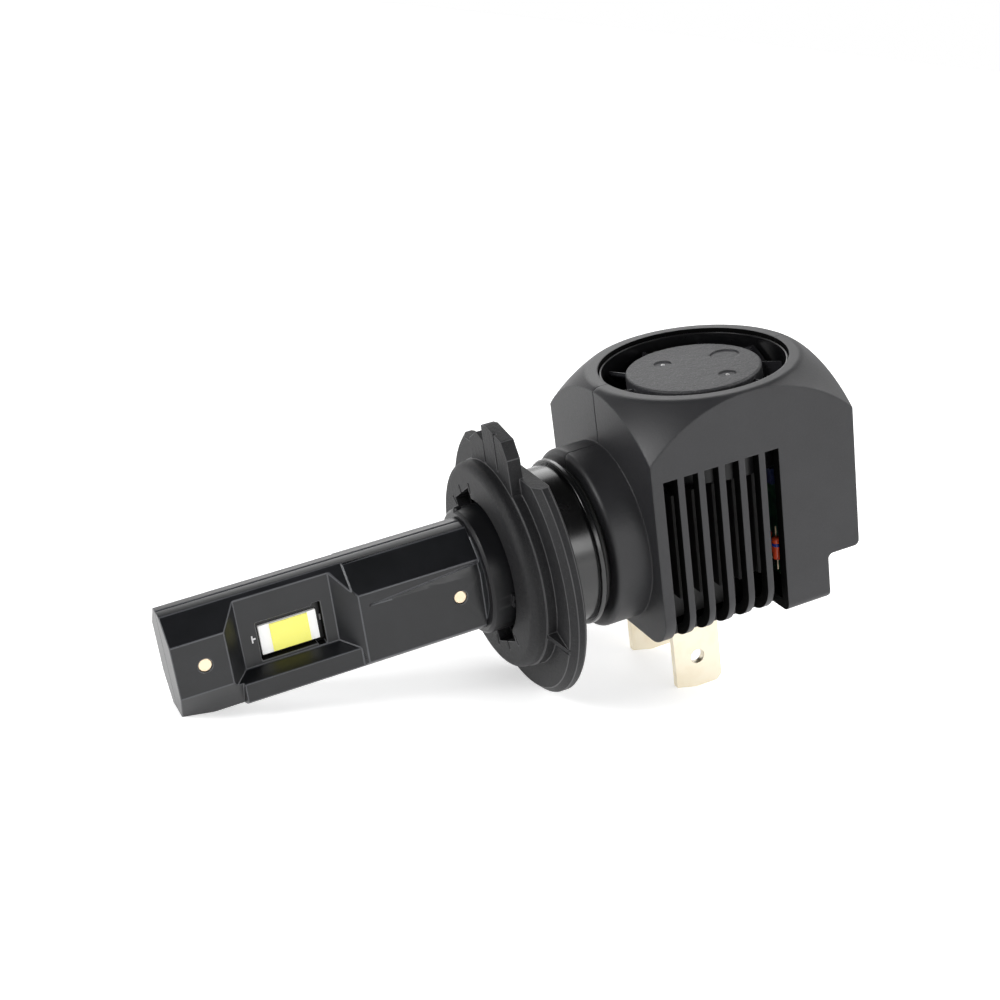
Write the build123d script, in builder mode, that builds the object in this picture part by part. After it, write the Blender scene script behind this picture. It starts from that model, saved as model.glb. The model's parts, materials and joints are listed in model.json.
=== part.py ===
from build123d import *
import math
import os

# LED headlight bulb with a twist-on base ring and a fan-cooled housing.
# Millimetres. +X runs along the bulb from its tip to the fan housing, +Z points up through the fan,
# -Y is the near side. The origin is on the bulb axis, in the front face of the base ring's disc.

# Driving dimensions
stem_tip_x = -37.5          # tip of the stem, ahead of the reference plane
stem_end_x = -4.9           # where the full stem section ends and its spigot starts
stem_r = 6.08               # round part of the stem
tip_flat_y = 3.6            # half thickness across the flats, tip to LED recess
base_flat_y = 4.1           # half thickness across the flats, LED recess to base
light_x = -25.0             # centre of the light source: light centre length 25 mm

disc_r = 15.0               # base ring: disc that rests on the lamp's seat
disc_t = 1.7
boss_r = 11.35              # base ring: boss that fills the lamp's opening
boss_l = 2.7
ring_bore_r = 7.4

housing_l = 24.1            # fan housing, outside
housing_half_w = 11.7
housing_front = 11.85
housing_top = 16.25
housing_bottom = -10.25
housing_wall = 1.2
fan_opening_r = 10.2

blade_w = 5.64              # plug blades
blade_t = 0.8
blade_y = 5.23
blade_bottom = -19.4

# Worked out from the driving dimensions
fan_x = housing_front + housing_l / 2
housing_rear = housing_front + housing_l
cavity_half_w = housing_half_w - housing_wall
fan_axis = Axis((fan_x, 0, 0), (0, 0, 1))


def side_plane(x=0.0):
    """XZ plane through (x, 0, 0): sketch x is +X, sketch y is +Z."""
    return Plane(origin=(x, 0, 0), x_dir=(1, 0, 0), z_dir=(0, -1, 0))


def cross_plane(x):
    """Plane across the bulb at x: sketch x is +Y, sketch y is +Z."""
    return Plane(origin=(x, 0, 0), x_dir=(0, 1, 0), z_dir=(1, 0, 0))


def level(z, x=fan_x):
    """Level plane at height z, centred on the fan."""
    return Plane.XY.offset(z).shift_origin((x, 0, z))


os.makedirs("parts", exist_ok=True)
pieces = []


def keep(builder, name):
    """Label a finished piece and remember it for export."""
    builder.part.label = name
    pieces.append(builder.part)


# ---------------------------------------------------------------- stem
core_t = 1.2                # copper plate between the two shells
core_half_h = 4.2
core_corner = 0.8
core_tip_x = stem_tip_x + 1.4
core_end_x = 25.0

recess_floor_y = 1.7        # floor of the LED recess, measured from the bulb's mid plane
recess_mouth_y = 6.2        # level beyond the stem's surface where the recess walls end
recess_floor = (-30.2, -20.2, -2.2)      # left, right and lower limits of the floor
recess_mouth = (-34.4, -16.3, -3.7)      # the same at the mouth level
recess_top = 7.0
base_wall_slope = (recess_mouth[1] - recess_floor[1]) / (recess_mouth_y - recess_floor_y)
base_wall_x = recess_floor[1] - base_wall_slope * recess_floor_y     # that wall carried to the mid plane

window_w = 6.9
window_h = 4.3
window_x = -24.95
window_z = 0.33
window_slot_w = 0.9
window_slot_h = 4.8

rivet_r = 0.73
rivet_places = [(-34.4, 0.6), (-7.4, -0.5)]

spigot_r = 5.6
spigot_end_x = 10.6
facet_angle = 32            # upper facet of the tip block, above the side
facet_distance = 4.25
facet_end_x = -31.0
bevel_angle = -43           # lower bevel, below the side
bevel_distance = 5.15
tip_bevel_distance = 5.0
cut_size = 8.0
groove_start_x = -17.0      # long tapering groove in the flat beside the base
groove_start_z = 1.8
groove_start_r = 0.02
groove_low = 1.2
groove_deep_z = 2.55
groove_high = 2.95
groove_depth = 0.5
seam_chamfer = 0.14
seam_reach = 0.01           # how near to the mid plane an edge of the seam lies


# flats on the near side: tilt above the side, distance from the axis, and where each starts and ends
stem_flats = [
    (0, base_flat_y, stem_tip_x, stem_end_x),
    (facet_angle, facet_distance, stem_tip_x, facet_end_x),
    (bevel_angle, bevel_distance, stem_tip_x, stem_end_x),
    (bevel_angle, tip_bevel_distance, stem_tip_x, base_wall_x + base_wall_slope * tip_flat_y),
]

with BuildPart() as stem_near:
    with BuildSketch(cross_plane(stem_tip_x)):
        Circle(stem_r)
    extrude(amount=stem_end_x - stem_tip_x)
    with BuildSketch(cross_plane(stem_end_x)):
        Circle(spigot_r)
    extrude(amount=spigot_end_x - stem_end_x)
    split(bisect_by=Plane.XZ, keep=Keep.TOP)
    for tilt, distance, start_x, end_x in stem_flats:
        facing = side_plane((start_x + end_x) / 2).rotated((tilt, 0, 0))
        with BuildSketch(facing.offset(distance)):
            Rectangle(end_x - start_x, 2 * cut_size)
        extrude(amount=cut_size, mode=Mode.SUBTRACT)
    # the tip block is thinner, up to the line of the recess's wall on the base side
    with BuildSketch(Plane.XY):
        with BuildLine():
            Polyline((stem_tip_x, -tip_flat_y), (base_wall_x + base_wall_slope * tip_flat_y, -tip_flat_y),
                     (base_wall_x + base_wall_slope * stem_r, -stem_r), (stem_tip_x, -stem_r), close=True)
        make_face()
    extrude(amount=stem_r, both=True, mode=Mode.SUBTRACT)
    # LED recess with sloping walls, open towards the top
    for depth, (left, right, low) in ((recess_floor_y, recess_floor), (recess_mouth_y, recess_mouth)):
        with BuildSketch(side_plane().offset(depth)):
            with Locations(((left + right) / 2, (low + recess_top) / 2)):
                Rectangle(right - left, recess_top - low)
    loft(mode=Mode.SUBTRACT)
    # window for the LED, with a taller slot at its base end
    with BuildSketch(side_plane()):
        with Locations((window_x, window_z)):
            Rectangle(window_w, window_h)
        with Locations((window_x + (window_w - window_slot_w) / 2, window_z)):
            Rectangle(window_slot_w, window_slot_h)
    extrude(amount=recess_floor_y, mode=Mode.SUBTRACT)
    # long tapering groove
    with BuildSketch(cross_plane(groove_start_x)):
        with Locations((-base_flat_y, groove_start_z)):
            RegularPolygon(groove_start_r, 3)
    with BuildSketch(cross_plane(stem_end_x)):
        with BuildLine():
            Polyline((-base_flat_y - 0.1, groove_high), (groove_depth - base_flat_y, groove_deep_z),
                     (-base_flat_y - 0.1, groove_low), close=True)
        make_face()
    loft(mode=Mode.SUBTRACT)
    # slot for the copper plate and holes for the rivets
    with BuildSketch(side_plane()):
        with Locations(((core_tip_x + spigot_end_x) / 2, 0)):
            Rectangle(spigot_end_x - core_tip_x, 2 * core_half_h)
    extrude(amount=core_t / 2, mode=Mode.SUBTRACT)
    with BuildSketch(side_plane()):
        with Locations(*rivet_places):
            Circle(rivet_r)
    extrude(amount=stem_r, mode=Mode.SUBTRACT)
    # a small chamfer opens the seam between the two shells
    seam = stem_near.edges().filter_by(Axis.X).filter_by_position(Axis.Y, -seam_reach, seam_reach)
    chamfer(seam.filter_by(lambda e: abs(e.center().Z) > spigot_r + seam_reach), seam_chamfer)
keep(stem_near, "stem_shell_near")

with BuildPart() as stem_far:
    mirror(stem_near.part, about=Plane.XZ)
keep(stem_far, "stem_shell_far")

with BuildPart() as core:
    with BuildSketch(side_plane()):
        with Locations(((core_tip_x + core_end_x) / 2, 0)):
            RectangleRounded(core_end_x - core_tip_x, 2 * core_half_h, core_corner)
        with Locations(*rivet_places):
            Circle(rivet_r, mode=Mode.SUBTRACT)
    extrude(amount=core_t / 2, both=True)
keep(core, "copper_core")

rivet_recess = 0.12         # rivet heads sit just under the flats
rivet_flats = [tip_flat_y, base_flat_y]
rivet_edge = 0.15
with BuildPart() as rivets:
    for place, flat in zip(rivet_places, rivet_flats):
        with BuildSketch(side_plane()):
            with Locations(place):
                Circle(rivet_r)
        extrude(amount=flat - rivet_recess, both=True)
    fillet(rivets.edges().filter_by(GeomType.CIRCLE), rivet_edge)
keep(rivets, "stem_rivets")

# ---------------------------------------------------------------- light sources
led_w = 6.1
led_h = 3.24
led_base_t = 0.3
phosphor_t = 0.12
phosphor_from = 0.19        # phosphor's limits along the LED
phosphor_to = 0.85
phosphor_margin = 0.06


def led_pair(name, x, width, height, start, thickness):
    """The same small block on both faces of the copper plate."""
    for side, word in ((1, "near"), (-1, "far")):
        with BuildPart() as block:
            with BuildSketch(side_plane().offset(side * start)):
                with Locations((x, 0)):
                    Rectangle(width, height)
            extrude(amount=side * thickness)
        keep(block, f"{name}_{word}")


led_pair("led_base", light_x, led_w, led_h, core_t / 2, led_base_t)
led_pair("led_phosphor", light_x + led_w * ((phosphor_from + phosphor_to) / 2 - 0.5),
         led_w * (phosphor_to - phosphor_from), led_h - 2 * phosphor_margin,
         core_t / 2 + led_base_t, phosphor_t)

# ---------------------------------------------------------------- locking collar and neck
collar_r = 6.8
collar_end_x = 1.1
collar_chamfer = 0.3
lug_r = 7.2
lug_w = 1.4
lug_l = 1.9
lug_x = -1.9
lug_root = 0.4              # how far each lug reaches into the collar
lug_groove_r = 0.18
lug_angles = [100, -80]     # measured from +Z towards -Y
pip_r = 0.5
pip_y = 1.6
pip_sink = 0.35             # how deep the pip's centre lies in the collar

sleeve_start_x = 1.8
sleeve_r = 8.7
lip_r = 9.2
lip_x = 6.3
lip_end_x = 7.0
sleeve_end_x = 13.4
sleeve_spigot_r = 7.86
sleeve_spigot_t = 1.2
lip_edge = 0.22
seal_section_r = 0.36
seal_x = 7.4

with BuildPart() as lock_collar:
    with BuildSketch(cross_plane(stem_end_x)):
        Circle(collar_r)
        Circle(spigot_r, mode=Mode.SUBTRACT)
    extrude(amount=collar_end_x - stem_end_x)
    front_rims = lock_collar.edges().filter_by(GeomType.CIRCLE).sort_by(Axis.X)[0:2]
    chamfer(front_rims.sort_by(SortBy.RADIUS)[-1], collar_chamfer)
    # two locking lugs, each with a groove between two ridges
    with BuildSketch(cross_plane(lug_x - lug_l / 2)):
        for angle in lug_angles:
            with Locations(Location((0, 0), angle)):
                with Locations((0, (collar_r + lug_r - lug_root) / 2)):
                    Rectangle(lug_w, lug_r - collar_r + lug_root)
                with Locations((0, lug_r)):
                    Circle(lug_groove_r, mode=Mode.SUBTRACT)
    extrude(amount=lug_l)
    # locating pip at the top
    with Locations((stem_end_x + pip_r, pip_y, collar_r - pip_sink)):
        Sphere(pip_r)
keep(lock_collar, "lock_collar")

with BuildPart() as sleeve:
    with BuildSketch(side_plane()):
        with BuildLine():
            Polyline((sleeve_start_x, spigot_r), (sleeve_start_x, sleeve_r), (lip_x, sleeve_r),
                     (lip_x, lip_r), (lip_end_x, lip_r), (lip_end_x, sleeve_spigot_r),
                     (sleeve_end_x, sleeve_spigot_r), (sleeve_end_x, sleeve_spigot_r - sleeve_spigot_t),
                     (spigot_end_x, sleeve_spigot_r - sleeve_spigot_t), (spigot_end_x, spigot_r), close=True)
        make_face()
    revolve(axis=Axis.X)
    fillet(sleeve.edges().filter_by(GeomType.CIRCLE).sort_by(SortBy.RADIUS)[-2:], lip_edge)
keep(sleeve, "neck_sleeve")

with BuildPart() as seal:
    with BuildSketch(side_plane()):
        with Locations((seal_x, sleeve_spigot_r + seal_section_r)):
            Circle(seal_section_r)
    revolve(axis=Axis.X)
keep(seal, "neck_seal")

# ---------------------------------------------------------------- base ring (twists off the stem)
step_x = -1.1               # mould line round the boss
step_h = 0.14
boss_edge = 0.9
disc_flat_z = 11.4
rim_front = 0.7             # bevels of the disc's rim
rim_rear = 0.25
tab_t = 1.5                 # orientation tabs
tab_groove_y = -3.1
tab_groove_w = 0.35
tab_groove_low = 11.55
tab_groove_l = 5.1
notch_angles = [-32, 157]   # bayonet entry notches, from +Z towards the near side
notch_w = 5.0
notch_depth = 0.85
slit_step = 20
slit_w = 0.34
slit_l = 1.2
slit_r = 8.6
slit_depth = 0.5
gusset_angle = 112
gusset_l = 3.0
gusset_t = 0.6


def turned(angle):
    """Location turned by angle from +Z towards the near side, on a cross plane."""
    return Location((0, 0), angle)


with BuildPart() as base_ring:
    with BuildSketch(side_plane()):
        with BuildLine():
            Polyline((-boss_l, ring_bore_r), (-boss_l, boss_r), (step_x, boss_r), (step_x, boss_r + step_h),
                     (0, boss_r + step_h), (0, disc_r - rim_front), (rim_front, disc_r),
                     (disc_t - rim_rear, disc_r), (disc_t, disc_r - rim_rear), (disc_t, ring_bore_r), close=True)
        make_face()
        fillet(vertices().sort_by(Axis.X)[0:2].sort_by(Axis.Y)[-1], boss_edge)
    revolve(axis=Axis.X)
    # the disc is cut flat beside the orientation tabs
    with BuildSketch(cross_plane(0)):
        with Locations((0, disc_flat_z + disc_r / 2)):
            Rectangle(2 * disc_r, disc_r)
    extrude(amount=disc_t, mode=Mode.SUBTRACT)
    # near tab, the taller one, and far tab
    with BuildSketch(cross_plane(step_x)):
        with BuildLine():
            Polyline((-0.2, boss_r - 1.0), (0.0, 15.75), (-1.2, 16.0), (-4.9, 15.35), (-5.95, 13.6),
                     (-6.1, boss_r - 1.6), close=True)
        make_face()
        with BuildLine():
            Polyline((0.25, boss_r - 1.0), (0.15, 13.9), (1.8, 14.4), (3.9, 13.1), (4.0, boss_r - 1.6),
                     close=True)
        make_face()
    extrude(amount=tab_t)
    # groove in the near tab's face
    with BuildSketch(cross_plane(step_x)):
        with Locations((tab_groove_y, tab_groove_low + tab_groove_l / 2)):
            Rectangle(tab_groove_w, tab_groove_l)
    extrude(amount=tab_groove_w, mode=Mode.SUBTRACT)
    # triangular gusset between boss and disc
    with BuildSketch(side_plane().rotated((gusset_angle, 0, 0))):
        with BuildLine():
            Polyline((step_x, boss_r - step_h), (step_x, boss_r + step_h), (0, boss_r + gusset_l),
                     (rim_front, boss_r - step_h), close=True)
        make_face()
    extrude(amount=gusset_t / 2, both=True)
    # bore
    with BuildSketch(cross_plane(-boss_l)):
        Circle(ring_bore_r)
        for angle in notch_angles:
            with Locations(turned(angle)):
                with Locations((0, ring_bore_r)):
                    Rectangle(notch_w, 2 * notch_depth)
    extrude(amount=boss_l + disc_t, mode=Mode.SUBTRACT)
    # three radial slits beside each notch
    with BuildSketch(cross_plane(-boss_l)):
        for angle in notch_angles:
            for turn in (-slit_step, 0, slit_step):
                with Locations(turned(angle + turn)):
                    with Locations((0, slit_r)):
                        Rectangle(slit_w, slit_l)
    extrude(amount=slit_depth, mode=Mode.SUBTRACT)
keep(base_ring, "base_ring")

# ---------------------------------------------------------------- fan housing
ring_flat_r = 11.5          # outer edge of the flat ring round the fan, where the dome starts
dome_drop = 5.5             # the dome falls as far as it spreads
dome_bulge = 0.27           # how far it swells outwards and upwards between its ends
dome_edge = 1.2
ledge_x = 32.0              # undercut at the rear bottom
ledge_z = -4.9
slotted_corner = 3.8        # rounding of the bottom edges along the slots
block_corner = 1.0          # and behind the slots
step_fillet = 0.6
neck_r = 9.95
neck_edge = 0.6
neck_front_x = 7.8
neck_bore_r = 7.9
slot_count = 6
slot_first_x = 13.11
slot_w = 1.64
slot_pitch = 2.394
slot_top = 9.03
slot_reach = 3.2            # how far each slot runs in under the bottom
slots_end_x = slot_first_x + (slot_count - 1) * slot_pitch + slot_w
blade_x = 15.5 + blade_w / 2
blade_gap = 0.1


def housing_block(inset):
    """The housing's outer form, moved inwards by inset."""
    front = housing_front + inset
    rear = housing_rear - inset
    low = housing_bottom + inset
    top = housing_top - inset
    ledge = ledge_z + inset
    step = ledge_x - inset
    dome_r = ring_flat_r - inset * (math.sqrt(2) - 1)
    dome_end_r = dome_r + dome_drop
    dome_middle = (dome_r + dome_drop / 2 + dome_bulge, top - dome_drop / 2 + dome_bulge)
    sections = (
        (front, slots_end_x, slotted_corner - inset),
        (slots_end_x, rear, max(block_corner - inset, 0.2)),
    )
    with BuildPart() as block:
        for start, end, corner in sections:
            with BuildSketch(cross_plane(start)):
                with Locations((0, (low + top) / 2)):
                    Rectangle(2 * (housing_half_w - inset), top - low)
                fillet(vertices().group_by(Axis.Y)[0], corner)
            extrude(amount=end - start)
        with BuildSketch(side_plane()):
            with BuildLine():
                Polyline((front, low), (step, low), (step, ledge), (rear, ledge), (rear, top), (front, top),
                         close=True)
            make_face()
            step_corners = vertices().filter_by_position(Axis.X, step - 1, rear + 1)
            fillet(step_corners.filter_by_position(Axis.Y, low - 1, ledge + 1), step_fillet)
        extrude(amount=housing_half_w, both=True, mode=Mode.INTERSECT)
        with BuildSketch(side_plane(fan_x)):
            with BuildLine():
                Polyline((dome_r, top), (0, top), (0, low), (dome_end_r, low), (dome_end_r, top - dome_drop))
                ThreePointArc((dome_end_r, top - dome_drop), dome_middle, (dome_r, top))
            make_face()
            fillet(vertices().group_by(Axis.Y)[-1].sort_by(Axis.X)[-1], dome_edge)
        revolve(axis=fan_axis, mode=Mode.INTERSECT)
    return block.part


outer_block = housing_block(0)
inner_block = housing_block(housing_wall)

with BuildPart() as housing_near:
    add(outer_block)
    with BuildSketch(cross_plane(neck_front_x)):
        Circle(neck_r)
    extrude(amount=housing_front - neck_front_x)
    neck_rim = housing_near.edges().filter_by(GeomType.CIRCLE).sort_by(Axis.X)[0]
    fillet(neck_rim, neck_edge)
    add(inner_block, mode=Mode.SUBTRACT)
    with BuildSketch(cross_plane(neck_front_x)):
        Circle(neck_bore_r)
    extrude(amount=housing_front + housing_wall - neck_front_x, mode=Mode.SUBTRACT)
    with BuildSketch(level(housing_top)):
        Circle(fan_opening_r)
    extrude(amount=-2 * housing_wall, mode=Mode.SUBTRACT)
    # air slots in the side, open round the bottom edge
    slot_low = housing_bottom - 1
    slot_middle_x = (slot_first_x + slots_end_x) / 2
    with BuildSketch(side_plane().offset(housing_half_w - slot_reach)):
        with Locations((slot_middle_x, (slot_top + slot_low) / 2)):
            with GridLocations(slot_pitch, 1, slot_count, 1):
                Rectangle(slot_w, slot_top - slot_low)
    extrude(amount=slot_reach + 1, mode=Mode.SUBTRACT)
    # passages for the plug blades
    with BuildSketch(Plane.XY.offset(housing_bottom)):
        with Locations((blade_x, -blade_y)):
            Rectangle(blade_w + 2 * blade_gap, blade_t + 2 * blade_gap)
    extrude(amount=housing_wall, mode=Mode.SUBTRACT)
    split(bisect_by=Plane.XZ, keep=Keep.TOP)
    # the seam between the halves shows as a fine groove on the front and the neck
    seam = housing_near.edges().filter_by_position(Axis.Y, -0.01, 0.01).filter_by(GeomType.LINE)
    front_seam = seam.filter_by(lambda e: e.center().X < housing_front + 0.01 and e.center().Z > neck_bore_r + 0.1
                                and e.length > 1.5)
    chamfer(front_seam, 0.1)
keep(housing_near, "housing_near")

with BuildPart() as housing_far:
    mirror(housing_near.part, about=Plane.XZ)
keep(housing_far, "housing_far")

# ---------------------------------------------------------------- fan
frame_outer_r = 10.45
frame_inner_r = 9.85
frame_top = housing_top - housing_wall
frame_lip_r = 10.1          # thin lip that stands up inside the housing's opening
frame_lip_top = housing_top - 0.4
frame_low = 6.4
frame_floor_t = 1.0
frame_disc_r = 5.6
spoke_count = 3
spoke_w = 1.4
rotor_hub_r = 7.3
rotor_top = housing_top - 0.75
rotor_low = 8.9
rotor_skin = 0.9
rotor_tip_r = 9.45
fan_blade_root_r = rotor_hub_r - rotor_skin + 0.1       # blades start just outside the hub's hollow
hub_boss_r = 1.6
hub_boss_l = 0.9
shaft_sink = 0.5            # how deep the shaft's end sits in the hub's face
fan_blade_count = 9
fan_blade_pitch = 38
fan_blade_l = 7.2
fan_blade_t = 0.55
fan_blade_edge = 0.2
fan_blade_z = 12.6
hub_edge = 0.25
hub_marks = [(-2.0, 3.15, 0.95), (1.75, -4.2, 0.95), (4.5, 1.05, 1.6)]     # round marks: x, y, radius
mark_depth = 0.15
shaft_r = 0.75
shaft_gap = 0.05
shaft_low = frame_low + frame_floor_t + 0.3
bearing_r = 1.6
tube_r = 2.3
tube_top = 13.4
magnet_inner_r = 5.5
magnet_low = rotor_low + 0.2
magnet_l = 4.4
stator_r = 5.1
stator_low = 9.6
stator_top = 12.4
fan_board_z = frame_low + frame_floor_t
fan_board_t = 0.6

with BuildPart() as fan_frame:
    with BuildSketch(level(frame_low)):
        Circle(frame_outer_r)
        Circle(frame_inner_r, mode=Mode.SUBTRACT)
    extrude(amount=frame_top - frame_low)
    with BuildSketch(level(frame_top)):
        Circle(frame_lip_r)
        Circle(frame_inner_r, mode=Mode.SUBTRACT)
    extrude(amount=frame_lip_top - frame_top)
    with BuildSketch(level(frame_low)):
        Circle(frame_disc_r)
        with PolarLocations((frame_outer_r + frame_disc_r - spoke_w / 2) / 2, spoke_count):
            Rectangle(frame_outer_r - frame_disc_r, spoke_w)
    extrude(amount=frame_floor_t)
    with BuildSketch(level(frame_low + frame_floor_t)):
        Circle(tube_r)
    extrude(amount=tube_top - frame_low - frame_floor_t)
    with BuildSketch(level(frame_low + frame_floor_t)):
        Circle(bearing_r)
    extrude(amount=tube_top - frame_low - frame_floor_t, mode=Mode.SUBTRACT)
keep(fan_frame, "fan_frame")

with BuildPart() as fan_bearing:
    with BuildSketch(level(frame_low + frame_floor_t)):
        Circle(bearing_r)
        Circle(shaft_r + shaft_gap, mode=Mode.SUBTRACT)
    extrude(amount=tube_top - frame_low - frame_floor_t - 0.2)
keep(fan_bearing, "fan_bearing")

with BuildPart() as fan_board:
    with BuildSketch(level(fan_board_z)):
        Circle(frame_disc_r)
        Circle(tube_r, mode=Mode.SUBTRACT)
    extrude(amount=fan_board_t)
keep(fan_board, "fan_board")

pole_count = 4
pole_w = 1.0
pole_gap = 1.8              # between neighbouring pole shoes
pole_shoe_t = 0.6
stator_wall = 0.7
with BuildPart() as stator_core:
    with BuildSketch(level(stator_low)):
        Circle(stator_r)
        Circle(stator_r - pole_shoe_t, mode=Mode.SUBTRACT)
        with PolarLocations(0, pole_count, start_angle=45):
            with Locations((stator_r, 0)):
                Rectangle(4 * pole_shoe_t, pole_gap, mode=Mode.SUBTRACT)
        with PolarLocations((stator_r - pole_shoe_t + tube_r) / 2, pole_count):
            Rectangle(stator_r - tube_r, pole_w)
        Circle(tube_r + stator_wall)
        Circle(tube_r, mode=Mode.SUBTRACT)
    extrude(amount=stator_top - stator_low)
keep(stator_core, "stator_core")

coil_w = 2.2
coil_l = 1.2
coil_rise = 0.4             # above and below the core
with BuildPart() as stator_coils:
    with BuildSketch(level(stator_low - coil_rise)):
        with PolarLocations((stator_r - pole_shoe_t + tube_r + stator_wall) / 2, pole_count):
            Rectangle(coil_l, coil_w)
            Rectangle(coil_l, pole_w, mode=Mode.SUBTRACT)
    extrude(amount=stator_top - stator_low + 2 * coil_rise)
keep(stator_coils, "stator_coils")

with BuildPart() as fan_rotor:
    with BuildSketch(level(rotor_low)):
        Circle(rotor_hub_r)
    extrude(amount=rotor_top - rotor_low)
    fillet(fan_rotor.faces().sort_by(Axis.Z)[-1].edges(), hub_edge)
    with BuildSketch(level(rotor_low)):
        Circle(rotor_hub_r - rotor_skin)
    extrude(amount=rotor_top - rotor_low - rotor_skin, mode=Mode.SUBTRACT)
    # pitched blades, trimmed to the rotor's tip radius
    for number in range(fan_blade_count):
        spin = Plane(origin=(fan_x, 0, fan_blade_z), x_dir=(0, 1, 0), z_dir=(1, 0, 0))
        turn = spin.rotated((0, 0, number * 360 / fan_blade_count), ordering=Extrinsic.XYZ)
        with BuildSketch(turn.offset(fan_blade_root_r)):
            with Locations(Location((0, 0), fan_blade_pitch)):
                RectangleRounded(fan_blade_l, fan_blade_t, fan_blade_edge)
        extrude(amount=rotor_tip_r - fan_blade_root_r)
    with BuildSketch(level(rotor_low)):
        Circle(rotor_tip_r)
    extrude(amount=rotor_top - rotor_low, mode=Mode.INTERSECT)
    # boss for the shaft
    with BuildSketch(level(rotor_top - rotor_skin)):
        Circle(hub_boss_r)
    extrude(amount=-hub_boss_l)
    with BuildSketch(level(rotor_top - rotor_skin - hub_boss_l)):
        Circle(shaft_r)
    extrude(amount=hub_boss_l + shaft_sink, mode=Mode.SUBTRACT)
    # shallow round marks in the hub's face
    with BuildSketch(level(rotor_top)):
        for mark_x, mark_y, mark_r in hub_marks:
            with Locations((mark_x, mark_y)):
                Circle(mark_r)
    extrude(amount=-mark_depth, mode=Mode.SUBTRACT)
keep(fan_rotor, "fan_rotor")

with BuildPart() as fan_shaft:
    with BuildSketch(level(shaft_low)):
        Circle(shaft_r)
    extrude(amount=rotor_top - rotor_skin + shaft_sink - shaft_low)
keep(fan_shaft, "fan_shaft")

with BuildPart() as rotor_magnet:
    with BuildSketch(level(magnet_low)):
        Circle(rotor_hub_r - rotor_skin)
        Circle(magnet_inner_r, mode=Mode.SUBTRACT)
    extrude(amount=magnet_l)
keep(rotor_magnet, "rotor_magnet")

# ---------------------------------------------------------------- heat sink
sink_low = -5.6
sink_top = frame_low
sink_half_w = 9.7
spine_half_w = 2.3
fin_t = 0.55
fin_count = slot_count - 1
sink_front_x = housing_front + housing_wall + 0.4
bar_first_x = slot_first_x + (slot_w + slot_pitch) / 2

with BuildPart() as heat_sink:
    # spine that grips the copper plate
    with BuildSketch(level(sink_low, 0)):
        with Locations(((sink_front_x + core_end_x) / 2, 0)):
            Rectangle(core_end_x - sink_front_x, 2 * spine_half_w)
    extrude(amount=sink_top - sink_low)
    # one fin behind each bar between the air slots
    with BuildSketch(level(sink_low, 0)):
        with Locations((bar_first_x + (fin_count - 1) * slot_pitch / 2, 0)):
            with GridLocations(slot_pitch, 1, fin_count, 1):
                Rectangle(fin_t, 2 * sink_half_w)
    extrude(amount=sink_top - sink_low)
    with BuildSketch(side_plane()):
        with Locations(((sink_front_x + core_end_x) / 2, 0)):
            Rectangle(core_end_x - sink_front_x, 2 * core_half_h)
    extrude(amount=core_t / 2, both=True, mode=Mode.SUBTRACT)
keep(heat_sink, "heat_sink")

# ---------------------------------------------------------------- plug blades and their base
block_low = housing_bottom + housing_wall
block_top = -6.0
block_w = 9.0
block_l = 14.4
blade_top = -6.6
blade_corner = 0.7
blade_edge = 0.12
hole_r = 0.82
hole_z = -15.6

for side, word in ((1, "near"), (-1, "far")):
    with BuildPart() as blade:
        with BuildSketch(side_plane().offset(side * blade_y)):
            with Locations((blade_x, (blade_top + blade_bottom) / 2)):
                Rectangle(blade_w, blade_top - blade_bottom)
            chamfer(vertices().group_by(Axis.Y)[0], blade_corner)
            with Locations((blade_x, hole_z)):
                Circle(hole_r, mode=Mode.SUBTRACT)
        extrude(amount=blade_t / 2, both=True)
        chamfer(blade.edges().filter_by(Axis.X).group_by(Axis.Z)[0], blade_edge)
    keep(blade, f"terminal_{word}")

with BuildPart() as terminal_block:
    with BuildSketch(level(block_low, 0)):
        with Locations((blade_x + 0.4, 0)):
            RectangleRounded(block_w, block_l, 0.8)
        with Locations((blade_x, blade_y), (blade_x, -blade_y)):
            Rectangle(blade_w, blade_t, mode=Mode.SUBTRACT)
    extrude(amount=block_top - block_low)
keep(terminal_block, "terminal_block")

# ---------------------------------------------------------------- driver electronics
board_x = 29.0
board_t = 1.0
board_half_w = 9.6
board_low = -8.4
board_top = 5.6

with BuildPart() as driver_board:
    with BuildSketch(cross_plane(board_x)):
        with Locations((0, (board_low + board_top) / 2)):
            Rectangle(2 * board_half_w, board_top - board_low)
    extrude(amount=board_t)
keep(driver_board, "driver_board")

diode_r = 0.5
diode_l = 2.6
diode_places = [(-9.35, -3.5), (-7.6, -3.5)]
with BuildPart() as diodes:
    for y, z in diode_places:
        with BuildSketch(level(z - diode_l / 2, 0)):
            with Locations((board_x - 1.9, y)):
                Circle(diode_r)
        extrude(amount=diode_l)
    fillet(diodes.edges().filter_by(GeomType.CIRCLE), 0.25)
keep(diodes, "driver_diodes")


def board_blocks(name, sizes, places, side=-1):
    """Rectangular components on the board's front (-1) or rear (+1) face."""
    start = board_x if side < 0 else board_x + board_t
    with BuildPart() as group:
        for y, z in places:
            with BuildSketch(cross_plane(start)):
                with Locations((y, z)):
                    Rectangle(sizes[0], sizes[1])
            extrude(amount=side * sizes[2])
    keep(group, name)


board_blocks("driver_chip", (4.0, 5.0, 1.5), [(-3.0, -1.0)])
board_blocks("driver_transistors", (3.2, 2.6, 1.6), [(3.4, 2.0), (3.4, -3.0)])
board_blocks("driver_resistors", (1.0, 1.8, 0.6), [(-8.4, 3.6), (-6.4, 3.6), (8.0, 3.2), (8.0, -0.2)])
board_blocks("driver_inductor", (6.0, 6.0, 3.0), [(-4.6, 1.4)], side=1)

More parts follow.
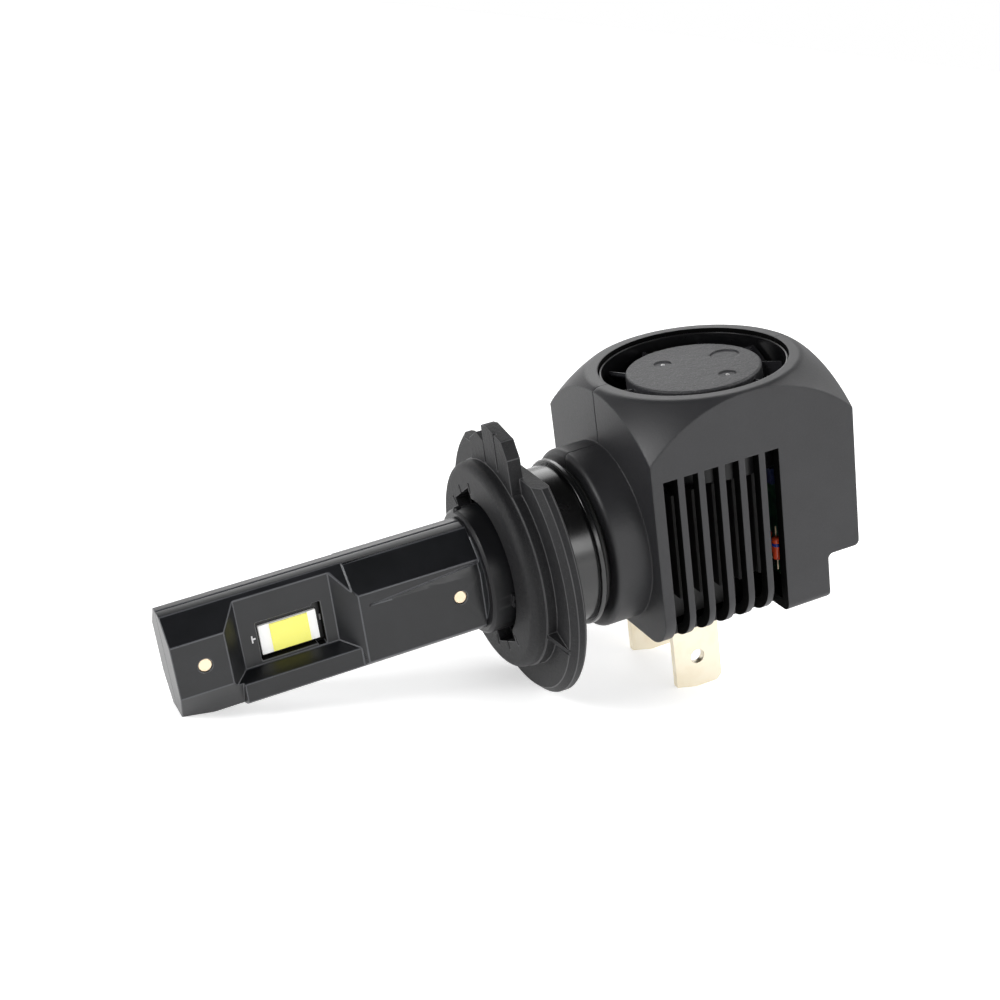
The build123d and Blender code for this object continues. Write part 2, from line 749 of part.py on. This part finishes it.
with BuildPart() as capacitors:
    for y in (2.6, 7.0):
        with BuildSketch(cross_plane(board_x + board_t)):
            with Locations((y, -1.0)):
                Circle(1.9)
        extrude(amount=3.6)
    fillet(capacitors.edges().filter_by(GeomType.CIRCLE).group_by(Axis.X)[-1], 0.3)
keep(capacitors, "driver_capacitors")

# ---------------------------------------------------------------- leads inside the housing
lead_r = 0.4
power_lead_z = -7.4
power_lead_start_x = blade_x + 4.9
led_lead_z = 2.4

with BuildPart() as power_leads:
    with BuildSketch(cross_plane(power_lead_start_x)):
        with Locations((-blade_y, power_lead_z), (blade_y, power_lead_z)):
            Circle(lead_r)
    extrude(amount=board_x - power_lead_start_x)
keep(power_leads, "power_leads")

with BuildPart() as led_leads:
    with BuildSketch(cross_plane(core_end_x)):
        with Locations((0, led_lead_z), (0, -led_lead_z)):
            Circle(lead_r)
    extrude(amount=board_x - core_end_x)
keep(led_leads, "led_leads")

for piece in pieces:
    export_step(piece, f"parts/{piece.label}.step")
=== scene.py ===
import json
import math

import bmesh
import bpy
from mathutils import Matrix, Vector


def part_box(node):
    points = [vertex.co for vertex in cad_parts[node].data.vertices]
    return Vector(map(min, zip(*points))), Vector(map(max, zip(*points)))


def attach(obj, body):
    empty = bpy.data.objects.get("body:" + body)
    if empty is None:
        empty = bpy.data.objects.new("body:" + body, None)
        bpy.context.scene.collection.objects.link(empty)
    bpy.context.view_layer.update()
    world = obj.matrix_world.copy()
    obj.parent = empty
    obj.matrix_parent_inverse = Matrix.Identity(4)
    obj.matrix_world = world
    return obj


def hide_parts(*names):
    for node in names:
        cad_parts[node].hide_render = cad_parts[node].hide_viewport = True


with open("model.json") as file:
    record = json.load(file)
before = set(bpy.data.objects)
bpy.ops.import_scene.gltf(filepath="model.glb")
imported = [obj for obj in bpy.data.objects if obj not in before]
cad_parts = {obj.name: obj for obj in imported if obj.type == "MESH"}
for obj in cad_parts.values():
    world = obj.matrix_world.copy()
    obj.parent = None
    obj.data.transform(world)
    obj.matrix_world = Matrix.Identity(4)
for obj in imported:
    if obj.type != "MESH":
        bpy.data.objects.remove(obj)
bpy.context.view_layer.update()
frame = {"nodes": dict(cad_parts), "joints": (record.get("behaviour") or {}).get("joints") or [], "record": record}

MM = 0.001

# ---------------------------------------------------------------- places read from the frame
stem_tip_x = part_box("stem_shell_near")[0].x
rotor_top_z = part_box("fan_rotor")[1].z
neck_front_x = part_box("housing_near")[0].x
blade_lo, blade_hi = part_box("terminal_near")
led_lo, led_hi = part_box("led_base_near")
sink_lo, sink_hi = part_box("heat_sink")
diode_lo, diode_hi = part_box("driver_diodes")
hub_axis_x = next(j for j in frame["joints"] if j["name"] == "fan_spin")["pos_m"][0]

# and a few that the frame doesn't state
hub_r = 7.35 * MM                            # just outside the fan hub's side
recess_floor_y = 1.7 * MM                    # level of the stem's recess floor, from the middle plane
slots_start_x = neck_front_x + 5.2 * MM      # just before the first air slot
slots_end_x = neck_front_x + 19.0 * MM       # and just behind the last
floor_at_tip_z = -5.0 * MM                   # about 1 mm above the lowest edge of the stem's tip
housing_middle = Vector((hub_axis_x, 0, (sink_lo.z + sink_hi.z) / 2))


# ---------------------------------------------------------------- material building blocks
class Shader:
    """A new material with its Principled shader and a short way to add nodes."""

    def __init__(self, name, color, roughness, metallic=0.0, specular=0.5):
        self.material = bpy.data.materials.new(name)
        self.material.use_nodes = True
        self.tree = self.material.node_tree
        self.surface = self.tree.nodes["Principled BSDF"]
        self.set("Base Color", (*color, 1.0))
        self.set("Roughness", roughness)
        self.set("Metallic", metallic)
        self.set("Specular IOR Level", specular)
        self.place = self.tree.nodes.new("ShaderNodeTexCoord").outputs["Object"]

    def set(self, socket, value):
        self.surface.inputs[socket].default_value = value

    def link(self, output, target):
        self.tree.links.new(output, target)

    def stretched(self, scale):
        """Object coordinates multiplied by scale, for grain that runs one way."""
        node = self.tree.nodes.new("ShaderNodeMapping")
        node.inputs["Scale"].default_value = scale
        self.link(self.place, node.inputs["Vector"])
        return node.outputs["Vector"]

    def noise(self, size, detail=2.0, rough=0.5, vector=None):
        """Noise whose features are about size across, in metres."""
        node = self.tree.nodes.new("ShaderNodeTexNoise")
        node.inputs["Scale"].default_value = 1.0 / size
        node.inputs["Detail"].default_value = detail
        node.inputs["Roughness"].default_value = rough
        self.link(vector or self.place, node.inputs["Vector"])
        return node.outputs["Fac"]

    def cells(self, size):
        """Distance to the nearest of many scattered points, about size apart."""
        node = self.tree.nodes.new("ShaderNodeTexVoronoi")
        node.inputs["Scale"].default_value = 1.0 / size
        self.link(self.place, node.inputs["Vector"])
        return node.outputs["Distance"]

    def ramp(self, factor, stops):
        """Colour ramp; stops are (position, colour or grey)."""
        node = self.tree.nodes.new("ShaderNodeValToRGB")
        while len(node.color_ramp.elements) < len(stops):
            node.color_ramp.elements.new(0.5)
        for element, (position, value) in zip(node.color_ramp.elements, stops):
            element.position = position
            grey = not isinstance(value, tuple)
            element.color = (value, value, value, 1.0) if grey else (*value, 1.0)
        self.link(factor, node.inputs["Fac"])
        return node.outputs["Color"]

    def remap(self, factor, low, high):
        """Factor from 0 to 1 brought to the range from low to high."""
        node = self.tree.nodes.new("ShaderNodeMapRange")
        node.inputs["To Min"].default_value = low
        node.inputs["To Max"].default_value = high
        self.link(factor, node.inputs["Value"])
        return node.outputs["Result"]

    def mix(self, kind, factor, first, second):
        """Mix of two colours; factor and colours may be values or outputs."""
        node = self.tree.nodes.new("ShaderNodeMix")
        node.data_type = "RGBA"
        node.blend_type = kind
        sockets = (node.inputs[0], node.inputs[6], node.inputs[7])
        for socket, value in zip(sockets, (factor, first, second)):
            if isinstance(value, bpy.types.NodeSocket):
                self.link(value, socket)
            elif isinstance(value, tuple):
                socket.default_value = (*value, 1.0)
            else:
                socket.default_value = value
        return node.outputs[2]

    def rounded(self, radius):
        """Normal with edges softened over radius, for corners too fine to model."""
        node = self.tree.nodes.new("ShaderNodeBevel")
        node.samples = 6
        node.inputs["Radius"].default_value = radius
        return node.outputs["Normal"]

    def color(self, output):
        self.link(output, self.surface.inputs["Base Color"])

    def roughness(self, output):
        self.link(output, self.surface.inputs["Roughness"])

    def bump(self, height, depth, after=None):
        """Bump of the given depth in metres; after is an earlier bump's or rounding's normal."""
        node = self.tree.nodes.new("ShaderNodeBump")
        node.inputs["Distance"].default_value = depth
        self.link(height, node.inputs["Height"])
        if after is not None:
            self.link(after, node.inputs["Normal"])
        self.link(node.outputs["Normal"], self.surface.inputs["Normal"])
        return node.outputs["Normal"]


def grained_plastic(name, color, roughness, grain, depth, speck, specular=0.5, edge=0.12):
    """Black moulding with an eroded grain, faint tone changes and paler specks.

    grain, its depth and edge are in mm; edge is how far corners are softened."""
    s = Shader(name, color, roughness, specular=specular)
    clouds = s.noise(6 * MM, 3)
    fine = s.noise(grain * MM, 3, 0.6)
    tone = s.mix("MULTIPLY", 0.5, color, s.ramp(clouds, [(0.3, 0.75), (0.7, 1.25)]))
    specks = s.ramp(s.noise(0.8 * grain * MM, 1), [(0.62, 0.0), (0.74, speck)])
    tone = s.mix("ADD", 1.0, tone, specks)
    s.color(tone)
    s.roughness(s.remap(fine, roughness - 0.08, roughness + 0.1))
    coarse = s.bump(s.noise(3 * grain * MM, 2), 0.7 * depth * MM, after=s.rounded(edge * MM))
    s.bump(fine, depth * MM, after=coarse)
    return s.material


def painted_shade_black(name):
    """Painted shade for the unlit inside of a hollow: black with barely a trace of grain."""
    s = Shader(name, (0.001, 0.001, 0.001), 0.8, specular=0.05)
    s.color(s.ramp(s.noise(1.5 * MM, 3), [(0.3, 0.0006), (0.7, 0.0018)]))
    s.bump(s.noise(0.3 * MM, 2), 0.01 * MM)
    return s.material


def anodised():
    """Smooth satin black anodising with faint drawn lines along the stem."""
    s = Shader("anodised_black", (0.007, 0.0072, 0.0085), 0.3)
    lines = s.noise(0.25 * MM, 3, 0.6, s.stretched((0.04, 1.0, 1.0)))
    cloud = s.noise(4 * MM, 3)
    s.color(s.ramp(cloud, [(0.3, (0.005, 0.0055, 0.0065)), (0.7, (0.009, 0.0095, 0.0115))]))
    s.roughness(s.remap(s.mix("MIX", 0.5, lines, cloud), 0.24, 0.40))
    s.bump(lines, 0.004 * MM, after=s.rounded(0.15 * MM))
    return s.material


def gloss_black():
    """Polished black sleeve, a little wavy."""
    s = Shader("gloss_black_sleeve", (0.004, 0.004, 0.0045), 0.24)
    s.set("IOR", 1.65)
    s.roughness(s.remap(s.noise(3 * MM, 3), 0.18, 0.32))
    s.bump(s.noise(1.6 * MM, 2), 0.008 * MM)
    return s.material


def seal_rubber():
    """Dull black rubber."""
    s = Shader("seal_rubber", (0.010, 0.010, 0.010), 0.55)
    s.roughness(s.remap(s.noise(0.6 * MM, 3), 0.45, 0.7))
    s.bump(s.noise(0.15 * MM, 2), 0.01 * MM)
    return s.material


def metal(name, color, roughness, grain, stretch, depth, tint):
    """Bare or plated metal with rolling lines and tarnish of the given tint; grain and depth in mm."""
    s = Shader(name, color, roughness, metallic=1.0)
    lines = s.noise(grain * MM, 4, 0.65, s.stretched(stretch))
    stain = s.noise(2.2 * MM, 4)
    s.color(s.mix("MIX", s.ramp(stain, [(0.45, 0.0), (0.75, 0.6)]), color, tint))
    s.roughness(s.remap(s.mix("MIX", 0.35, lines, stain), roughness - 0.1, roughness + 0.14))
    s.bump(lines, depth * MM)
    return s.material


def led_white():
    """White moulded package, glowing faintly."""
    s = Shader("led_package_white", (0.92, 0.92, 0.90), 0.5)
    s.color(s.ramp(s.noise(0.8 * MM, 2), [(0.3, (0.90, 0.90, 0.88)), (0.7, (0.96, 0.96, 0.95))]))
    s.bump(s.noise(0.12 * MM, 2), 0.006 * MM)
    s.set("Emission Color", (1.0, 1.0, 1.0, 1.0))
    s.set("Emission Strength", 0.2)
    return s.material


def led_phosphor():
    """Light yellow silicone layer full of fine phosphor grains, glowing faintly."""
    s = Shader("led_phosphor", (0.93, 0.90, 0.16), 0.42)
    grain = s.cells(0.07 * MM)
    s.color(s.ramp(grain, [(0.1, (0.96, 0.95, 0.24)), (0.8, (0.90, 0.86, 0.13))]))
    s.bump(grain, 0.01 * MM)
    s.set("Emission Color", (1.0, 0.95, 0.25, 1.0))
    s.set("Emission Strength", 0.16)
    return s.material


def board_green():
    """Green solder mask over uneven copper."""
    s = Shader("solder_mask", (0.012, 0.07, 0.035), 0.35)
    s.color(s.ramp(s.cells(1.1 * MM), [(0.2, (0.010, 0.055, 0.03)), (0.9, (0.02, 0.11, 0.05))]))
    s.bump(s.noise(0.3 * MM), 0.01 * MM)
    return s.material


def plain_part(name, color, roughness, grain=0.4, metallic=0.0):
    """Small electronic part: a colour with slight variation, and its own fine surface; grain in mm."""
    s = Shader(name, color, roughness, metallic=metallic)
    darker = tuple(0.75 * c for c in color)
    s.color(s.ramp(s.noise(grain * MM, 3), [(0.3, darker), (0.7, color)]))
    s.bump(s.noise(grain * MM / 2, 2), 0.01 * MM)
    return s.material


HOUSING = grained_plastic("housing_black", (0.017, 0.017, 0.019), 0.46, 0.14, 0.012, 0.004, edge=0.26)
# paler copy of the housing's finish for its rounded edges: a painted highlight
HOUSING_EDGE_HIGHLIGHT = grained_plastic("housing_painted_highlight", (0.070, 0.070, 0.075), 0.36, 0.14, 0.01, 0.004)
RING = grained_plastic("ring_black", (0.008, 0.008, 0.009), 0.56, 0.16, 0.05, 0.012, 0.3, edge=0.2)
# paler copy of the ring's finish for its rounded edges: a painted highlight
RING_EDGE_HIGHLIGHT = grained_plastic("ring_painted_highlight", (0.035, 0.035, 0.037), 0.46, 0.16, 0.03, 0.01)
HUB = grained_plastic("hub_black", (0.030, 0.030, 0.033), 0.5, 0.26, 0.07, 0.05)
FAN_BLADE = grained_plastic("fan_blade_black", (0.010, 0.010, 0.012), 0.24, 0.4, 0.004, 0.0)
FAN = grained_plastic("fan_frame_black", (0.003, 0.003, 0.0035), 0.30, 0.3, 0.006, 0.0, 0.35)
BLOCK = grained_plastic("block_black", (0.02, 0.02, 0.02), 0.5, 0.2, 0.02, 0.0)
COLLAR = grained_plastic("collar_black", (0.005, 0.005, 0.006), 0.36, 0.3, 0.004, 0.0, 0.3, edge=0.1)
# near-black painted shade for the inside of the housing, its air slots and the walls round each LED
HOLLOW_PAINTED_SHADE = painted_shade_black("hollow_painted_shade")
ANODISED = anodised()
# paler colour for the stem's rounded edges: a painted highlight
STEM_EDGE_HIGHLIGHT = grained_plastic("stem_painted_highlight", (0.060, 0.062, 0.068), 0.3, 0.3, 0.003, 0.0)
GLOSS = gloss_black()
RUBBER = seal_rubber()
along_blade = (1.0, 1.0, 0.05)
every_way = (1.0, 1.0, 1.0)
TINNED = metal("tinned_blade", (0.84, 0.77, 0.62), 0.3, 0.12, along_blade, 0.003, (0.74, 0.64, 0.46))
RIVET = metal("rivet_brass", (0.93, 0.76, 0.55), 0.34, 0.1, every_way, 0.006, (0.80, 0.58, 0.36))
STEEL = metal("steel", (0.55, 0.55, 0.56), 0.3, 0.2, every_way, 0.003, (0.42, 0.41, 0.40))
COPPER = metal("copper", (0.80, 0.42, 0.26), 0.3, 0.2, every_way, 0.003, (0.60, 0.28, 0.16))
BRONZE = metal("bearing_bronze", (0.50, 0.34, 0.18), 0.5, 0.1, every_way, 0.01, (0.36, 0.24, 0.12))
WHITE = led_white()
PHOSPHOR = led_phosphor()
BOARD = board_green()
# near black: a black part, made darker still as painted shade deep inside the housing
SINK = plain_part("heat_sink_black", (0.004, 0.004, 0.004), 0.6, 0.3)
BAND = plain_part("diode_band", (0.02, 0.05, 0.35), 0.2, 0.3)
MASK = plain_part("black_solder_mask", (0.012, 0.012, 0.012), 0.35, 0.2)

# each node's finish
finishes = {
    "stem_shell_near": ANODISED, "stem_shell_far": ANODISED, "lock_collar": COLLAR,
    "heat_sink": SINK, "copper_core": MASK, "stem_rivets": RIVET,
    "led_base_near": WHITE, "led_base_far": WHITE,
    "led_phosphor_near": PHOSPHOR, "led_phosphor_far": PHOSPHOR,
    "neck_sleeve": GLOSS, "neck_seal": RUBBER, "base_ring": RING,
    "housing_near": HOUSING, "housing_far": HOUSING,
    "fan_frame": FAN, "fan_rotor": HUB, "fan_shaft": STEEL, "fan_bearing": BRONZE,
    "fan_board": BOARD, "stator_core": STEEL, "stator_coils": COPPER,
    "rotor_magnet": plain_part("ferrite_magnet", (0.05, 0.047, 0.045), 0.6),
    "terminal_near": TINNED, "terminal_far": TINNED,
    "terminal_block": BLOCK, "driver_board": BOARD,
    "driver_diodes": plain_part("diode_glass", (0.75, 0.08, 0.03), 0.12),
    "driver_chip": plain_part("chip_epoxy", (0.018, 0.018, 0.018), 0.45),
    "driver_transistors": plain_part("transistor_epoxy", (0.02, 0.02, 0.02), 0.4),
    "driver_resistors": plain_part("resistor_body", (0.04, 0.06, 0.16), 0.35),
    "driver_inductor": plain_part("inductor_ferrite", (0.07, 0.07, 0.075), 0.5),
    "driver_capacitors": plain_part("capacitor_can", (0.62, 0.62, 0.63), 0.28, metallic=1.0),
    "power_leads": plain_part("lead_black", (0.02, 0.02, 0.02), 0.35),
    "led_leads": plain_part("lead_red", (0.45, 0.02, 0.02), 0.35),
}
slots = {row["node"]: row["material_slot"] for row in frame["record"]["subparts"]}


# ---------------------------------------------------------------- pieces made from the CAD's own shape
def looks_inwards(face):
    """Inner walls of the housing and the sides of its air slots: the faces painted in shade."""
    place = face.calc_center_median()
    slot_side = abs(face.normal.x) > 0.9 and slots_start_x < place.x < slots_end_x
    return slot_side or (housing_middle - place).dot(face.normal) > 0


window_margin = 1.0 * MM
window_margin_above = 1.5 * MM


def in_window(face):
    """Walls of the window round an LED: faces painted in shade."""
    place = face.calc_center_median()
    near_led = (led_lo.x - window_margin < place.x < led_hi.x + window_margin
                and led_lo.z - window_margin < place.z < led_hi.z + window_margin_above)
    is_wall = abs(place.y) < recess_floor_y - 0.05 * MM and abs(face.normal.y) < 0.5
    return near_led and is_wall


def beyond_hub(face):
    """Blades of the fan, outside its hub."""
    place = face.calc_center_median()
    return math.hypot(place.x - hub_axis_x, place.y) > hub_r


# nodes with many short curved edges, where a bevel that isn't clamped would make spikes
finely_curved = ("housing_near", "housing_far", "fan_rotor", "neck_sleeve", "lock_collar")
# nodes with a window in a flat face, which is divided round it
windowed = ("stem_shell_near", "stem_shell_far")
# a second material, and the test for the faces that have it: painted shade inside the housing and round each LED,
# the blades' own finish on the fan rotor
second_finishes_and_painted_shade = {
    "housing_near": (HOLLOW_PAINTED_SHADE, looks_inwards), "housing_far": (HOLLOW_PAINTED_SHADE, looks_inwards),
    "stem_shell_near": (HOLLOW_PAINTED_SHADE, in_window), "stem_shell_far": (HOLLOW_PAINTED_SHADE, in_window),
    "fan_rotor": (FAN_BLADE, beyond_hub),
}
# a paler colour for rounded edges: a painted highlight where they catch the light
painted_edge_highlights = {
    "housing_near": HOUSING_EDGE_HIGHLIGHT, "housing_far": HOUSING_EDGE_HIGHLIGHT, "base_ring": RING_EDGE_HIGHLIGHT,
    "stem_shell_near": STEM_EDGE_HIGHLIGHT, "stem_shell_far": STEM_EDGE_HIGHLIGHT,
}


weld_distance = 0.002 * MM
edge_segments = 3
sharp_angle = math.radians(28)       # edges that turn more than this are rounded
flat_angle = math.radians(0.4)       # neighbouring faces that turn less than this become one


def soft_edged(node, width):
    """A visual piece with the node's shape and small rounded edges, as a moulding or casting has."""
    source = frame["nodes"][node]
    mesh = source.data.copy()
    if "custom_normal" in mesh.attributes:
        mesh.attributes.remove(mesh.attributes["custom_normal"])
    bm = bmesh.new()
    bm.from_mesh(mesh)
    bmesh.ops.remove_doubles(bm, verts=bm.verts, dist=weld_distance)
    bmesh.ops.dissolve_limit(bm, angle_limit=flat_angle, verts=bm.verts, edges=bm.edges)
    if node in windowed:
        bmesh.ops.connect_verts_concave(bm, faces=bm.faces)
    bm.normal_update()
    mesh.materials.clear()
    mesh.materials.append(finishes[node])
    other, chosen = second_finishes_and_painted_shade.get(node, (None, None))
    if other:
        mesh.materials.append(other)
    # painted highlight: the paler colour that the rounded edges take
    corners = painted_edge_highlights.get(node)
    if corners:
        mesh.materials.append(corners)
    for face in bm.faces:
        face.smooth = True
        face.material_index = 1 if other and chosen(face) else 0
    bm.to_mesh(mesh)
    bm.free()
    piece = bpy.data.objects.new(node + "_piece", mesh)
    bpy.context.scene.collection.objects.link(piece)
    bevel = piece.modifiers.new("edges", "BEVEL")
    bevel.width = width
    bevel.segments = edge_segments
    bevel.limit_method = "ANGLE"
    bevel.angle_limit = sharp_angle
    bevel.use_clamp_overlap = node in finely_curved
    bevel.miter_outer = "MITER_ARC"
    bevel.harden_normals = False
    # the bevel's rounded faces get the paler colour, a painted highlight
    if corners:
        bevel.material = len(mesh.materials) - 1
    weight = piece.modifiers.new("normals", "WEIGHTED_NORMAL")
    weight.keep_sharp = False
    body = next(b for b, members in frame["record"]["behaviour"]["bodies"].items() if node in members)
    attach(piece, body)
    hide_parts(node)


for node, material in finishes.items():
    mesh = frame["nodes"][node].data
    mesh.materials.clear()
    mesh.materials.append(material)

# width of each piece's rounded edges, in mm; clamping narrows it on the finely curved ones
edge_widths = {
    "housing_near": 0.15, "housing_far": 0.15, "base_ring": 0.07, "stem_shell_near": 0.10,
    "stem_shell_far": 0.10, "lock_collar": 0.08, "neck_sleeve": 0.10, "terminal_near": 0.06,
    "terminal_far": 0.06, "fan_frame": 0.08, "fan_rotor": 0.08, "heat_sink": 0.05,
}
for node, width in edge_widths.items():
    soft_edged(node, width * MM)


# ---------------------------------------------------------------- small details on top of the CAD
detail_weld_distance = 0.0005 * MM


def detail(name, bm, material, body, slot_name):
    """The mesh in bm as a piece that rides on a body."""
    bmesh.ops.remove_doubles(bm, verts=bm.verts, dist=detail_weld_distance)
    bmesh.ops.recalc_face_normals(bm, faces=bm.faces)
    mesh = bpy.data.meshes.new(name)
    bm.to_mesh(mesh)
    bm.free()
    mesh.materials.append(material)
    piece = bpy.data.objects.new(name, mesh)
    bpy.context.scene.collection.objects.link(piece)
    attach(piece, body)


def add_turned(bm, place, profile, steps=32):
    """Adds a body turned about the vertical through place, from (radius, height) points in mm."""
    verts = [bm.verts.new(place + Vector((radius, 0, height)) * MM) for radius, height in profile]
    edges = [bm.edges.new(pair) for pair in zip(verts, verts[1:])]
    bmesh.ops.spin(bm, geom=verts + edges, cent=place, axis=(0, 0, 1), angle=math.tau, steps=steps,
                   use_merge=True)
    for face in bm.faces:
        face.smooth = True


def add_plate(bm, place, outline, thickness):
    """Adds a flat part at place with an (x, z) outline in mm, thickened along Y."""
    face = bm.faces.new([bm.verts.new(place + Vector((x, 0, z)) * MM) for x, z in outline])
    raised = bmesh.ops.extrude_face_region(bm, geom=[face])["geom"]
    corners = [item for item in raised if isinstance(item, bmesh.types.BMVert)]
    bmesh.ops.translate(bm, verts=corners, vec=(0, thickness * MM, 0))


# a silver T beside each LED and the end of its contact in the window's slot
contact_y = 0.66 * MM            # inner side of a contact's end, from the middle plane
t_outline = [(-0.16, -0.42), (-0.02, -0.42), (-0.02, -0.09), (0.26, -0.09), (0.26, 0.09), (-0.02, 0.09),
             (-0.02, 0.38), (-0.16, 0.38)]
end_outline = [(-0.11, -0.34), (0.11, -0.34), (0.09, 0.26), (-0.03, 0.36), (-0.11, 0.2)]
t_x, t_z = led_lo.x - 0.86 * MM, 0.84 * MM
end_x, end_z = led_hi.x + 0.42 * MM, 0.56 * MM
t_thickness = 0.03
end_thickness = 0.12
bm = bmesh.new()
for outward in (-1, 1):
    add_plate(bm, Vector((t_x, outward * recess_floor_y, t_z)), t_outline, outward * t_thickness)
    add_plate(bm, Vector((end_x, outward * contact_y, end_z)), end_outline, outward * end_thickness)
detail("led_contact_marks", bm, STEEL, "bulb", slots["led_base_near"])

# a small bright pip in each of the two smaller marks in the fan hub
mark_floor_z = rotor_top_z - 0.15 * MM
pip_places = ((-2.0, 3.15), (1.75, -4.2))
pip_profile = [(0.24, -0.03), (0.22, 0.03), (0.12, 0.075), (0, 0.09)]
bm = bmesh.new()
for pip_x, pip_y in pip_places:
    add_turned(bm, Vector((hub_axis_x + pip_x * MM, pip_y * MM, mark_floor_z)), pip_profile)
detail("hub_pips", bm, STEEL, "rotor", slots["fan_shaft"])

# glass diodes: wire leads and a blue band
diode_r = (diode_hi.x - diode_lo.x) / 2
wire_profile = [(0, 2.62), (0.1, 2.55), (0.1, 1.2), (0, 1.15)]
band_profile = [(0.49, 0.28), (0.515, 0.3), (0.515, 0.66), (0.49, 0.68)]
wires = bmesh.new()
bands = bmesh.new()
for middle_y in (diode_lo.y + diode_r, diode_hi.y - diode_r):
    middle = Vector(((diode_lo.x + diode_hi.x) / 2, middle_y, (diode_lo.z + diode_hi.z) / 2))
    for end in (1, -1):
        add_turned(wires, middle, [(radius, end * height) for radius, height in wire_profile], 16)
    add_turned(bands, middle, band_profile)
detail("diode_wires", wires, RIVET, "bulb", slots["driver_diodes"])
detail("diode_bands", bands, BAND, "bulb", slots["driver_diodes"])

# ---------------------------------------------------------------- floor, light and camera
# the part lies on its blades and on the tip of its stem, so the floor slopes in the part's own axes
tip_contact = Vector((stem_tip_x, 0, floor_at_tip_z))
blade_contact = Vector(((blade_lo.x + blade_hi.x) / 2, 0, blade_lo.z))
floor_r = 1.5
floor_gap = 0.02 * MM
rest_slope = math.atan2(tip_contact.z - blade_contact.z, blade_contact.x - tip_contact.x)
floor_mesh = bpy.data.meshes.new("floor")
bm = bmesh.new()
bmesh.ops.create_circle(bm, cap_ends=True, segments=96, radius=floor_r)
bm.to_mesh(floor_mesh)
bm.free()
floor = bpy.data.objects.new("floor", floor_mesh)
bpy.context.scene.collection.objects.link(floor)
floor.rotation_euler = (0, rest_slope, 0)
floor.location = blade_contact - Vector((0, 0, floor_gap))
paper = Shader("white_paper", (0.93, 0.93, 0.93), 0.6, specular=0.2)
paper.roughness(paper.remap(paper.noise(5 * MM), 0.55, 0.65))
# paper glows more with distance from the part, so that it stays white to the horizon
nearness = paper.tree.nodes.new("ShaderNodeTexGradient")
nearness.gradient_type = "SPHERICAL"
paper.link(paper.place, nearness.inputs["Vector"])
glow = paper.ramp(nearness.outputs["Fac"], [(0.62, 1.0), (0.86, 0.58)])
paper.link(glow, paper.surface.inputs["Emission Color"])
paper.set("Emission Strength", 1.0)
floor_mesh.materials.append(paper.material)

# white near the horizon under a dark ceiling
world = bpy.data.worlds.new("studio")
bpy.context.scene.world = world
world.use_nodes = True
sky = world.node_tree
direction = sky.nodes.new("ShaderNodeTexCoord").outputs["Generated"]
split = sky.nodes.new("ShaderNodeSeparateXYZ")
sweep = sky.nodes.new("ShaderNodeValToRGB")
sky.links.new(direction, split.inputs["Vector"])
sky.links.new(split.outputs["Z"], sweep.inputs["Fac"])
sky.links.new(sweep.outputs["Color"], sky.nodes["Background"].inputs["Color"])
sweep.color_ramp.elements[0].position = 0.36
sweep.color_ramp.elements[0].color = (1.0, 1.0, 1.0, 1.0)
sweep.color_ramp.elements[1].position = 0.50
sweep.color_ramp.elements[1].color = (0.035, 0.035, 0.035, 1.0)
sky.nodes["Background"].inputs["Strength"].default_value = 1.0


light_distance = 0.60


def softbox(name, direction, size, power):
    """A square area light seen from the part in the given direction, facing it."""
    data = bpy.data.lights.new(name, "AREA")
    data.shape = "SQUARE"
    data.size = size
    data.energy = power
    light = bpy.data.objects.new(name, data)
    bpy.context.scene.collection.objects.link(light)
    light.location = Vector(direction).normalized() * light_distance
    light.rotation_mode = "QUATERNION"
    light.rotation_quaternion = (-Vector(direction)).to_track_quat("-Z", "Y")


softbox("left_top", (-0.70, -0.10, 0.70), 0.26, 2.4)
softbox("key_right", (0.85, -0.15, 0.55), 0.35, 1.5)
softbox("front_window", (0.32, -0.92, 0.26), 0.20, 0.4)
softbox("back_top", (0.33, 0.87, 0.50), 0.30, 0.7)

camera_azimuth = math.radians(-20.75)
camera_elevation = math.radians(23.863)
camera_roll = math.radians(7.958)
camera_distance = 184.713 * MM
camera_aim = Vector((0.818, 2.432, 5.796)) * MM
camera_data = bpy.data.cameras.new("camera")
camera_data.sensor_width = 36
camera_data.lens = 62.607
camera_data.clip_start = 0.01
camera = bpy.data.objects.new("camera", camera_data)
bpy.context.scene.collection.objects.link(camera)
back = Vector((math.sin(camera_azimuth) * math.cos(camera_elevation),
               -math.cos(camera_azimuth) * math.cos(camera_elevation), math.sin(camera_elevation)))
camera.location = camera_aim + back * camera_distance
camera.rotation_mode = "QUATERNION"
turn = (-back).to_track_quat("-Z", "Y").to_matrix() @ Matrix.Rotation(-camera_roll, 3, "Z")
camera.rotation_quaternion = turn.to_quaternion()
bpy.context.scene.camera = camera
bpy.context.scene.view_settings.view_transform = "Standard"
